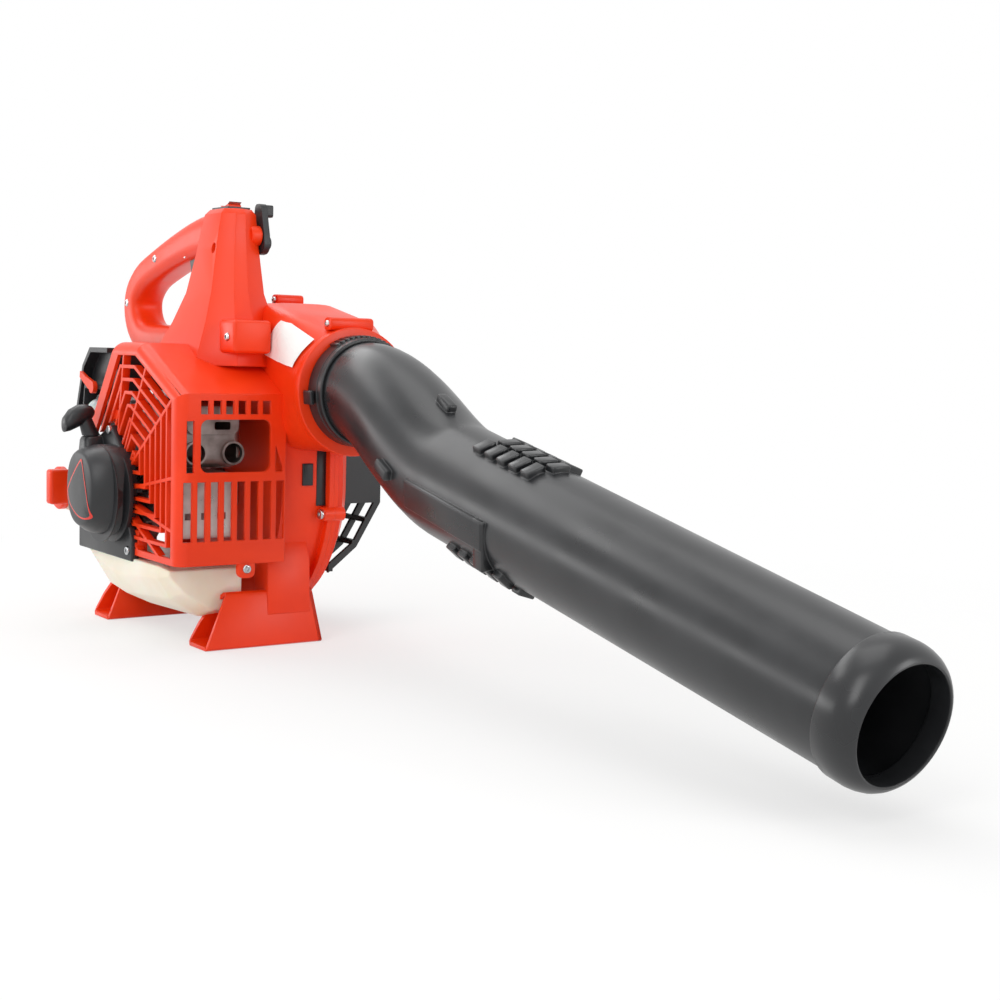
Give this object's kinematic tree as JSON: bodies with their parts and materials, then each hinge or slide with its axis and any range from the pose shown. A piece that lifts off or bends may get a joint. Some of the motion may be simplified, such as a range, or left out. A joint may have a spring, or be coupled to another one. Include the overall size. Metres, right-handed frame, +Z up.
{
  "type": "handheld leaf blower",
  "caption": "Handheld petrol leaf blower: side fan housing, bent blow tube, carrying handle with trigger, ribbed engine cover, recoil starter and fuel tank.",
  "frame": {"origin": "centre of the bounding box at the floor under the two feet", "axes": "+X along the crankshaft from the starter to the air intake, -Y the way the air blows, +Z up"},
  "size_m": [0.2337, 0.8612, 0.339],
  "materials": {
    "red_plastic": "satin",
    "tube_plastic": "satin",
    "black_plastic": "satin",
    "tank_plastic": "satin",
    "cap_plastic": "satin",
    "lever_plastic": "satin",
    "bulb_plastic": "clear",
    "cast_aluminium": "cast",
    "impeller_plastic": "satin",
    "steel": "brushed",
    "sheet_steel": "brushed",
    "rubber": "matte",
    "rope_fibre": "braided",
    "filter_foam": "open foam"
  },
  "bodies": {
    "machine": {"fan_case_engine_side": "red_plastic", "fan_case_intake_side": "red_plastic", "engine_cover": "red_plastic", "handle_left_shell": "red_plastic", "handle_right_shell": "red_plastic", "front_foot": "red_plastic", "rear_foot": "red_plastic", "intake_guard": "black_plastic", "starter_housing": "black_plastic", "air_cleaner_base": "black_plastic", "switch_frame": "black_plastic", "insulator": "black_plastic", "purge_ring": "black_plastic", "fuel_tank": "tank_plastic", "crankcase": "cast_aluminium", "cylinder": "cast_aluminium", "carburetor": "cast_aluminium", "crank_bearings": "steel", "muffler": "steel", "recoil_spring": "steel", "trigger_pin": "steel", "case_screws": "steel", "starter_screws": "steel", "handle_screws": "steel", "spark_plug": "steel", "ignition_coil": "steel", "heat_shield": "sheet_steel", "muffler_gasket": "sheet_steel", "spark_plug_cap": "rubber", "ignition_lead": "rubber", "oil_seals": "rubber", "tank_grommet": "rubber", "fuel_line": "rubber", "return_line": "rubber", "throttle_cable": "rubber", "starter_rope": "rope_fibre", "air_filter": "filter_foam", "fuel_filter": "filter_foam"},
    "tube": {"blow_tube": "tube_plastic", "nozzle_ring": "tube_plastic", "tube_collar": "tube_plastic"},
    "rotor": {"crankshaft": "steel", "flywheel": "cast_aluminium", "impeller": "impeller_plastic", "fan_nut": "steel", "starter_pawls": "steel"},
    "pull_grip": {"starter_grip": "black_plastic"},
    "reel": {"starter_reel": "black_plastic"},
    "trigger": {"throttle_trigger": "black_plastic"},
    "throttle_arm": {"throttle_lever": "steel"},
    "cruise": {"cruise_lever": "black_plastic"},
    "switch": {"stop_switch": "lever_plastic"},
    "choke": {"choke_lever": "lever_plastic"},
    "bulb": {"purge_bulb": "bulb_plastic"},
    "fuel_cap": {"fuel_cap": "cap_plastic"},
    "filter_cover": {"air_cleaner_cover": "black_plastic"}
  },
  "joints": [
    {"name": "tube_twist", "type": "hinge", "parent": "machine", "child": "tube", "pos_m": [0.046, 0.143, 0.195], "axis": [0, 1, 0], "range_deg": [0, 25]},
    {"name": "crank_spin", "type": "hinge", "parent": "machine", "child": "rotor", "pos_m": [0.006, 0.282, 0.11], "axis": [1, 0, 0], "continuous": true},
    {"name": "starter_pull", "type": "slide", "parent": "machine", "child": "pull_grip", "axis": [0, 0, 1], "range_m": [0, 0.6], "deforming": ["starter_rope"]},
    {"name": "reel_spin", "type": "hinge", "parent": "machine", "child": "reel", "pos_m": [-0.092, 0.282, 0.11], "axis": [1, 0, 0], "range_deg": [0, 1020]},
    {"name": "trigger_pivot", "type": "hinge", "parent": "machine", "child": "trigger", "pos_m": [-0.006, 0.305, 0.299], "axis": [1, 0, 0], "range_deg": [0, 16], "stiffness_Nm_per_rad": 0.6, "springref_deg": -8.59},
    {"name": "throttle_arm_pivot", "type": "hinge", "parent": "machine", "child": "throttle_arm", "pos_m": [-0.014, 0.352, 0.166], "axis": [1, 0, 0], "range_deg": [0, 60]},
    {"name": "cruise_pivot", "type": "hinge", "parent": "machine", "child": "cruise", "pos_m": [0.012, 0.228, 0.308], "axis": [-1, 0, 0], "range_deg": [0, 45]},
    {"name": "switch_rock", "type": "hinge", "parent": "machine", "child": "switch", "pos_m": [-0.006, 0.247, 0.329], "axis": [1, 0, 0], "range_deg": [0, 16]},
    {"name": "choke_pivot", "type": "hinge", "parent": "filter_cover", "child": "choke", "pos_m": [-0.076, 0.354, 0.1905], "axis": [1, 0, 0], "range_deg": [0, 50]},
    {"name": "bulb_press", "type": "slide", "parent": "machine", "child": "bulb", "axis": [1, 0, 0], "range_m": [0, 0.006], "stiffness_N_per_m": 600},
    {"name": "cap_turn", "type": "hinge", "parent": "machine", "child": "fuel_cap", "pos_m": [-0.093, 0.4, 0.104], "axis": [-1, 0, 0], "range_deg": [0, 300]},
    {"name": "filter_cover_off", "type": "slide", "parent": "machine", "child": "filter_cover", "axis": [-1, 0, 0], "range_m": [0, 0.04]}
  ],
  "couplings": [
    {"joint": "reel_spin", "follows": "starter_pull", "rad_per_m": 29.63},
    {"joint": "throttle_arm_pivot", "follows": "trigger_pivot", "ratio": 3.75}
  ]
}
